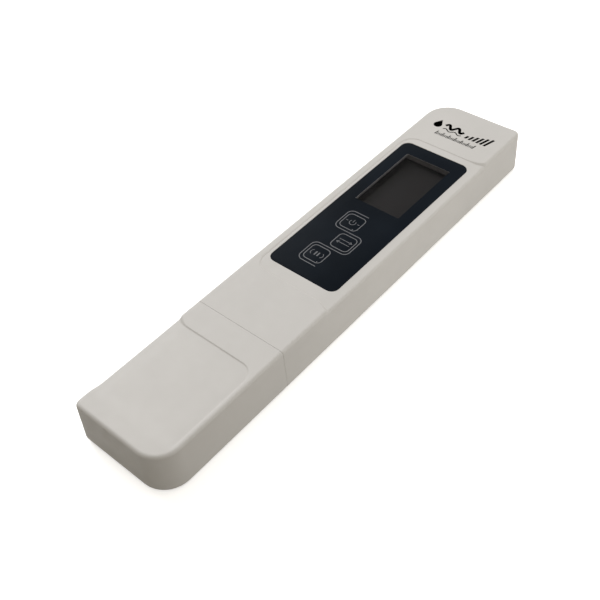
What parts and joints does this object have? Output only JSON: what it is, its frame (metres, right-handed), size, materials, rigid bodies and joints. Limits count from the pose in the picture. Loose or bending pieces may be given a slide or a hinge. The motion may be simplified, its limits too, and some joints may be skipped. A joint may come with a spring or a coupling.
{
  "type": "water test pen",
  "caption": "Slim white pocket water test pen: dark key panel with a display window, a pull-off cap over its electrode probe, and a sliding battery door on the back.",
  "frame": {"origin": "on the back face, under the middle of the capped pen's bounding box", "axes": "+X towards the display end, -X towards the cap's tip, +Z out of the display face, +Y to the left of the display when the cap points at the viewer"},
  "size_m": [0.154, 0.03, 0.014],
  "materials": {
    "abs_white": "fine satin texture",
    "film_navy": "satin printed film",
    "smoked_pane": "smoked clear plastic",
    "lcd_glass": "polariser over dark glass",
    "black_plastic": "moulded",
    "dark_rubber": "matt elastomer",
    "solder_mask": "green solder mask",
    "stainless": "bright drawn",
    "can_aluminium": "drawn can",
    "nickel_strip": "nickel-plated strip",
    "pin_metal": "turned, fine satin",
    "lead_red": "insulation",
    "lead_black": "insulation",
    "lead_yellow": "insulation"
  },
  "bodies": {
    "case": {"front_shell": "abs_white", "rear_shell": "abs_white", "probe_body": "abs_white", "label_overlay": "film_navy", "display_window": "smoked_pane", "lcd_panel": "lcd_glass", "lcd_frame": "black_plastic", "zebra_strip_1": "dark_rubber", "zebra_strip_2": "dark_rubber", "switch_power": "black_plastic", "switch_shift": "black_plastic", "switch_hold": "black_plastic", "circuit_board": "solder_mask", "controller_chip": "black_plastic", "amplifier_chip": "black_plastic", "timing_crystal": "stainless", "reservoir_capacitor": "can_aluminium", "board_screw_1": "stainless", "board_screw_2": "stainless", "case_screw_1": "stainless", "case_screw_2": "stainless", "battery_cell_1": "stainless", "battery_cell_2": "stainless", "contact_negative": "nickel_strip", "contact_positive": "nickel_strip", "electrode_pin_1": "pin_metal", "electrode_pin_2": "pin_metal", "temperature_sensor": "stainless", "neck_seal": "dark_rubber", "electrode_lead_1": "lead_red", "electrode_lead_2": "lead_black", "sensor_lead": "lead_yellow"},
    "cap": {"cap": "abs_white"},
    "battery_door": {"battery_door": "abs_white", "battery_bridge": "nickel_strip"},
    "key_power": {"key_power": "film_navy", "switch_button_power": "black_plastic"},
    "key_shift": {"key_shift": "film_navy", "switch_button_shift": "black_plastic"},
    "key_hold": {"key_hold": "film_navy", "switch_button_hold": "black_plastic"}
  },
  "joints": [
    {"name": "cap_pull", "type": "slide", "parent": "case", "child": "cap", "axis": [-1, 0, 0], "range_m": [0, 0.045]},
    {"name": "battery_door_slide", "type": "slide", "parent": "case", "child": "battery_door", "axis": [1, 0, 0], "range_m": [0, 0.028]},
    {"name": "key_power_press", "type": "slide", "parent": "case", "child": "key_power", "axis": [0, 0, -1], "range_m": [0, 0.0003], "stiffness_N_per_m": 4000, "springref_m": -0.0001},
    {"name": "key_shift_press", "type": "slide", "parent": "case", "child": "key_shift", "axis": [0, 0, -1], "range_m": [0, 0.0003], "stiffness_N_per_m": 4000, "springref_m": -0.0001},
    {"name": "key_hold_press", "type": "slide", "parent": "case", "child": "key_hold", "axis": [0, 0, -1], "range_m": [0, 0.0003], "stiffness_N_per_m": 4000, "springref_m": -0.0001}
  ]
}
